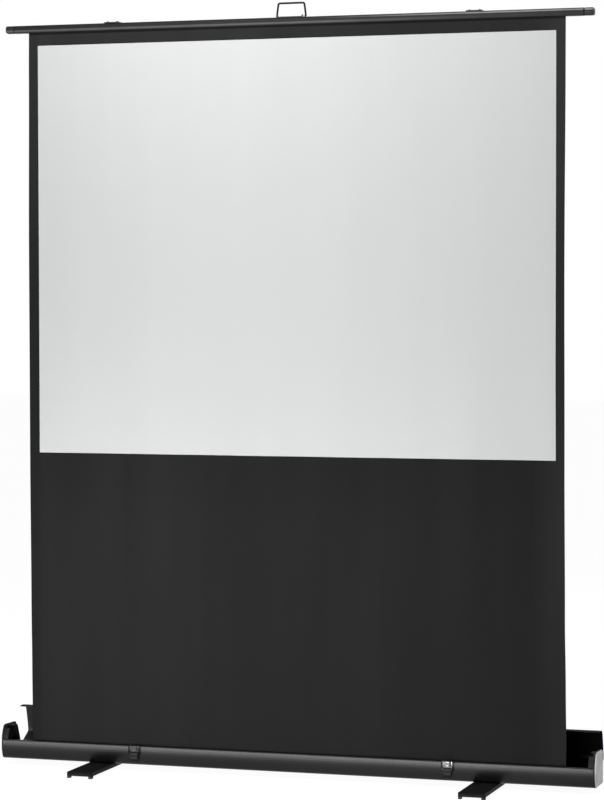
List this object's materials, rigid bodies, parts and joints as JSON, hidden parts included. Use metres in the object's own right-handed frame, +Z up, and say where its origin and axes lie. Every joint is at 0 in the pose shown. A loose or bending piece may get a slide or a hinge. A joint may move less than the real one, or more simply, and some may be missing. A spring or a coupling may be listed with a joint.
{
  "type": "pull up projection screen",
  "caption": "Floor-standing projection screen that pulls up out of a long aluminium case on jointed arms behind the fabric, with a hinged case lid and swivelling feet.",
  "frame": {"origin": "centre of the space between the feet, on the floor", "axes": "+Z up, X along the case, -Y towards the viewer of the picture"},
  "size_m": [1.85, 0.439, 2.2915],
  "materials": {
    "satin_grey_aluminium": "satin dark grey anodised",
    "black_painted_steel": "semi-gloss black powder coat",
    "black_moulded_plastic": "fine moulded texture",
    "light_grey_plastic": "satin light grey",
    "polished_steel": "bright plated",
    "zinc_plated_steel": "dull zinc plating",
    "black_anodised_aluminium": "satin black anodised",
    "matt_white_fabric": "matt white coated fabric",
    "black_fabric": "matt black coated fabric",
    "black_rubber": "matt"
  },
  "bodies": {
    "case": {"case_base": "satin_grey_aluminium", "end_cap_left": "black_moulded_plastic", "end_cap_right": "black_moulded_plastic", "end_plate_left": "light_grey_plastic", "end_plate_right": "light_grey_plastic", "spring_shaft": "zinc_plated_steel", "roller_spring": "zinc_plated_steel", "projection_surface": "matt_white_fabric", "black_masking": "black_fabric", "foot_pivot_left": "zinc_plated_steel", "foot_pivot_right": "zinc_plated_steel", "arm_base_left": "zinc_plated_steel", "arm_base_right": "zinc_plated_steel", "base_pin_left": "zinc_plated_steel", "base_pin_right": "zinc_plated_steel", "latch_base_left": "polished_steel", "latch_base_right": "polished_steel"},
    "lid": {"lid": "satin_grey_aluminium", "lid_keeper_left": "polished_steel", "lid_keeper_right": "polished_steel"},
    "foot_left": {"foot_left": "black_painted_steel", "foot_pad_left_front_a": "black_rubber", "foot_pad_left_front_b": "black_rubber", "foot_pad_left_rear_a": "black_rubber", "foot_pad_left_rear_b": "black_rubber"},
    "foot_right": {"foot_right": "black_painted_steel", "foot_pad_right_front_a": "black_rubber", "foot_pad_right_front_b": "black_rubber", "foot_pad_right_rear_a": "black_rubber", "foot_pad_right_rear_b": "black_rubber"},
    "lower_arm_left": {"lower_arm_left": "black_anodised_aluminium"},
    "upper_arm_left": {"upper_arm_left": "black_anodised_aluminium", "knee_pin_left": "zinc_plated_steel", "knee_washer_left": "black_moulded_plastic"},
    "lower_arm_right": {"lower_arm_right": "black_anodised_aluminium"},
    "upper_arm_right": {"upper_arm_right": "black_anodised_aluminium", "knee_pin_right": "zinc_plated_steel", "knee_washer_right": "black_moulded_plastic"},
    "top_bar": {"top_bar": "black_anodised_aluminium", "bar_cap_left": "black_moulded_plastic", "bar_cap_right": "black_moulded_plastic", "bar_bracket_left": "black_painted_steel", "bar_bracket_right": "black_painted_steel", "bar_pin_left": "zinc_plated_steel", "bar_pin_right": "zinc_plated_steel", "handle_clip": "black_painted_steel", "fabric_rod": "light_grey_plastic"},
    "handle": {"handle": "black_painted_steel"},
    "roller": {"roller_tube": "satin_grey_aluminium", "roller_plug_left": "black_moulded_plastic", "roller_plug_right": "black_moulded_plastic"},
    "latch_left": {"latch_lever_left": "black_painted_steel"},
    "latch_right": {"latch_lever_right": "black_painted_steel"},
    "latch_loop_left": {"latch_loop_left": "polished_steel"},
    "latch_loop_right": {"latch_loop_right": "polished_steel"}
  },
  "joints": [
    {"name": "lift_left", "type": "hinge", "parent": "case", "child": "lower_arm_left", "pos_m": [-0.559, 0, 0.0425], "axis": [0, 1, 0], "range_deg": [0, 68.9], "deforming": ["projection_surface", "black_masking"]},
    {"name": "knee_left", "type": "hinge", "parent": "lower_arm_left", "child": "upper_arm_left", "pos_m": [-0.154, 0, 1.1295], "axis": [0, 1, 0], "range_deg": [-138, 0]},
    {"name": "bar_pivot", "type": "hinge", "parent": "upper_arm_left", "child": "top_bar", "pos_m": [-0.559, 0, 2.2165], "axis": [0, 1, 0], "range_deg": [0, 69]},
    {"name": "lift_right", "type": "hinge", "parent": "case", "child": "lower_arm_right", "pos_m": [0.559, 0, 0.0425], "axis": [0, 1, 0], "range_deg": [-69, 0]},
    {"name": "knee_right", "type": "hinge", "parent": "lower_arm_right", "child": "upper_arm_right", "pos_m": [0.154, 0, 1.1295], "axis": [0, 1, 0], "range_deg": [0, 138]},
    {"name": "roller_spin", "type": "hinge", "parent": "case", "child": "roller", "pos_m": [0, -0.02, 0.0525], "axis": [1, 0, 0], "range_deg": [0, 6700]},
    {"name": "handle_fold", "type": "hinge", "parent": "top_bar", "child": "handle", "pos_m": [0, -0.0255, 2.2512], "axis": [-1, 0, 0], "range_deg": [0, 90]},
    {"name": "lid_hinge", "type": "hinge", "parent": "case", "child": "lid", "pos_m": [0, 0.062, 0.0432], "axis": [1, 0, 0], "range_deg": [0, 8]},
    {"name": "foot_swivel_left", "type": "hinge", "parent": "case", "child": "foot_left", "pos_m": [-0.5995, 0, 0], "axis": [0, 0, 1], "range_deg": [0, 90]},
    {"name": "foot_swivel_right", "type": "hinge", "parent": "case", "child": "foot_right", "pos_m": [0.5995, 0, 0], "axis": [0, 0, 1], "range_deg": [0, 90]},
    {"name": "latch_lever_left_hinge", "type": "hinge", "parent": "case", "child": "latch_left", "pos_m": [-0.487, -0.06, 0.056], "axis": [-1, 0, 0], "range_deg": [0, 120]},
    {"name": "latch_lever_right_hinge", "type": "hinge", "parent": "case", "child": "latch_right", "pos_m": [0.487, -0.06, 0.056], "axis": [-1, 0, 0], "range_deg": [0, 120]},
    {"name": "latch_loop_left_hinge", "type": "hinge", "parent": "latch_left", "child": "latch_loop_left", "pos_m": [-0.487, -0.06, 0.05], "axis": [-1, 0, 0], "range_deg": [-120.5, 0]},
    {"name": "latch_loop_right_hinge", "type": "hinge", "parent": "latch_right", "child": "latch_loop_right", "pos_m": [0.487, -0.06, 0.05], "axis": [-1, 0, 0], "range_deg": [-120.5, 0]}
  ],
  "couplings": [
    {"joint": "knee_left", "follows": "lift_left", "ratio": -2},
    {"joint": "bar_pivot", "follows": "lift_left", "ratio": 1},
    {"joint": "lift_right", "follows": "lift_left", "ratio": -1},
    {"joint": "knee_right", "follows": "lift_left", "ratio": 2},
    {"joint": "roller_spin", "follows": "lift_left", "ratio": 96.7},
    {"joint": "latch_loop_left_hinge", "follows": "latch_lever_left_hinge", "ratio": -1},
    {"joint": "latch_loop_right_hinge", "follows": "latch_lever_right_hinge", "ratio": -1}
  ]
}
